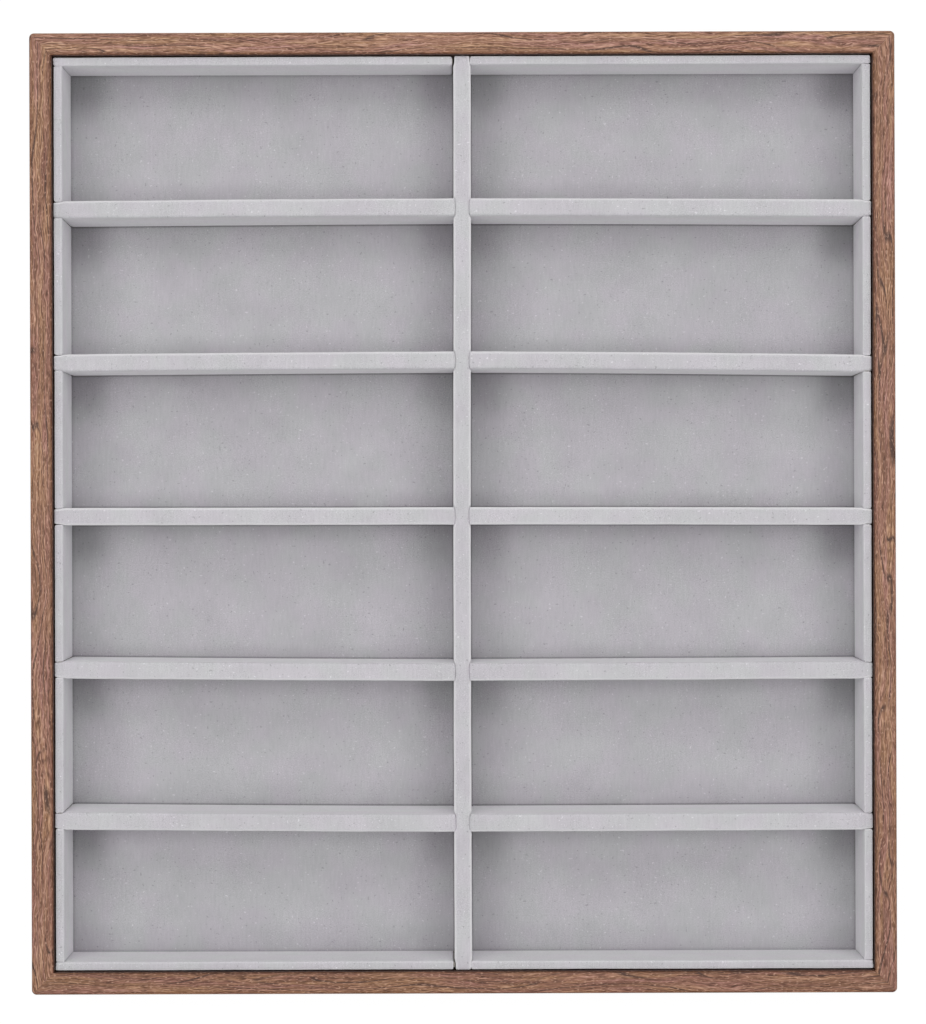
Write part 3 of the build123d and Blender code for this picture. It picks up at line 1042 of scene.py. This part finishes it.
class GLASSESTRAY_OT_stage(bpy.types.Operator):
    """Pale floor, soft studio light and the camera straight above the tray"""

    bl_idname = "glasses_tray.stage"
    bl_label = "Stage"

    def execute(self, context):
        scene, stage = context.scene, settings().stage
        self.lay_floor(scene, stage)
        self.light(scene, stage)
        self.place_camera(scene, stage)
        scene.view_settings.view_transform = "Standard"
        return {"FINISHED"}

    def lay_floor(self, scene, stage):
        """A wide floor that the camera sees as white, with a part of the tray's shadow on it."""
        bm = bmesh.new()
        bmesh.ops.create_grid(bm, x_segments=1, y_segments=1, size=4.0)
        mesh = bpy.data.meshes.new("studio_floor")
        bm.to_mesh(mesh)
        bm.free()
        material, add = new_material("white_paper_sweep")
        paper = add("BsdfPrincipled", {"Base Color": rgba(stage.floor_colour), "Roughness": 0.9})
        seen = add("LightPath", output="Is Camera Ray")
        rays = seen.node.outputs
        for ray in ("Is Glossy Ray", "Is Transmission Ray"):
            seen = add("Math", [seen, rays[ray]], operation="MAXIMUM")
        share = add("Math", [seen, 0.92], **TIMES)
        white = add("Emission", {"Color": (1, 1, 1, 1), "Strength": 1.04})
        both = add("MixShader", [share, paper, white])
        add("OutputMaterial", [both])
        mesh.materials.append(material)
        floor = bpy.data.objects.new("studio_floor", mesh)
        scene.collection.objects.link(floor)

    def light(self, scene, stage):
        """A dim even sky, a wide soft window behind and above, and a soft light high at each side."""
        world = bpy.data.worlds.new("white_studio")
        world.use_nodes = True
        add = emptied(world.node_tree)
        seen = add("LightPath", output="Is Camera Ray")
        strength = add("MapRange", {"Value": seen, "To Min": stage.sky, "To Max": 1.0})
        sky = add("Background", {"Color": (1, 1, 1, 1), "Strength": strength})
        add("OutputWorld", [sky])
        scene.world = world

        # Each lamp's power, place and size
        lamps = {
            "soft_window": (stage.window_power, (0.0, 0.9, 1.7), (1.6, 1.0)),
            "left_softbox": (stage.side_power, (-0.7, 0.0, 1.7), (0.8, 1.2)),
            "right_softbox": (stage.side_power, (0.7, 0.0, 1.7), (0.8, 1.2)),
        }
        for name, (power, place, size) in lamps.items():
            lamp = bpy.data.lights.new(name, "AREA")
            lamp.shape = "RECTANGLE"
            lamp.size, lamp.size_y = size
            lamp.energy = power
            lit = bpy.data.objects.new(name, lamp)
            lit.location = place
            lit.rotation_euler = (-Vector(place)).to_track_quat("-Z", "Y").to_euler()
            scene.collection.objects.link(lit)

    def place_camera(self, scene, stage):
        """Straight down from above the middle, as the photograph is taken."""
        lens = bpy.data.cameras.new("camera")
        lens.lens = stage.lens
        lens.sensor_width = 36.0
        lens.clip_start, lens.clip_end = 0.01, 20.0
        camera = bpy.data.objects.new("camera", lens)
        rim = cad_bounds[1][Z]
        camera.location = (-0.06 * MM, 0.33 * MM, rim + stage.camera_height)
        camera.rotation_euler = (0, 0, stage.roll)
        scene.collection.objects.link(camera)
        scene.camera = camera


class GLASSESTRAY_PT_looks(bpy.types.Panel):
    """Sizes, colours and pieces of the tray"""

    bl_idname = "GLASSESTRAY_PT_looks"
    bl_label = "Glasses tray"
    bl_space_type = "VIEW_3D"
    bl_region_type = "UI"
    bl_category = "Glasses tray"

    def draw(self, context):
        for title in ("Foil", "Suede", "Grid", "Bottom", "Stage"):
            group = getattr(settings(), title.lower())
            column = self.layout.box().column()
            column.label(text=title)
            for name in group.bl_rna.properties.keys():
                if name not in ("name", "rna_type"):
                    column.prop(group, name)
        for operator in OPERATORS:
            self.layout.operator(operator.bl_idname)


SETTINGS = (FoilSettings, SuedeSettings, GridSettings, BottomSettings, StageSettings, TraySettings)
OPERATORS = (
    GLASSESTRAY_OT_rails,
    GLASSESTRAY_OT_bottom,
    GLASSESTRAY_OT_floor,
    GLASSESTRAY_OT_centre_divider,
    GLASSESTRAY_OT_cross_dividers,
    GLASSESTRAY_OT_lining,
    GLASSESTRAY_OT_stage,
)


def register():
    for made in SETTINGS + OPERATORS + (GLASSESTRAY_PT_looks,):
        bpy.utils.register_class(made)
    bpy.types.Scene.glasses_tray = PointerProperty(type=TraySettings)


def unregister():
    del bpy.types.Scene.glasses_tray
    for made in reversed(SETTINGS + OPERATORS + (GLASSESTRAY_PT_looks,)):
        bpy.utils.unregister_class(made)


def main():
    register()
    bpy.ops.glasses_tray.rails()
    bpy.ops.glasses_tray.bottom()
    bpy.ops.glasses_tray.floor()
    bpy.ops.glasses_tray.centre_divider()
    bpy.ops.glasses_tray.cross_dividers()
    bpy.ops.glasses_tray.lining()
    bpy.ops.glasses_tray.stage()


if __name__ == "__main__":
    main()
